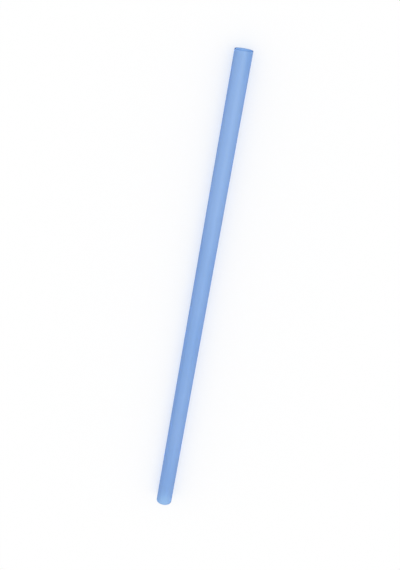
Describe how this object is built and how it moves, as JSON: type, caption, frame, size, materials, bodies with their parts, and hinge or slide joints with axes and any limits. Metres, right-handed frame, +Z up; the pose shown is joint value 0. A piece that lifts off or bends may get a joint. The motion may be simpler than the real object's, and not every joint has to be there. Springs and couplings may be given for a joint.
{
  "type": "drinking straw",
  "caption": "Straight thin-walled drinking straw of translucent blue plastic, open through its length and cut square at both ends.",
  "frame": {"origin": "on the surface that the straw lies on, under the middle of its length and its axis", "axes": "+Y along the straw's axis, +Z up from the surface that it lies on, +X across the straw"},
  "size_m": [0.007, 0.21, 0.007],
  "materials": {
    "straw_plastic": "satin, translucent"
  },
  "bodies": {
    "root": {"straw_tube": "straw_plastic"}
  },
  "joints": []
}
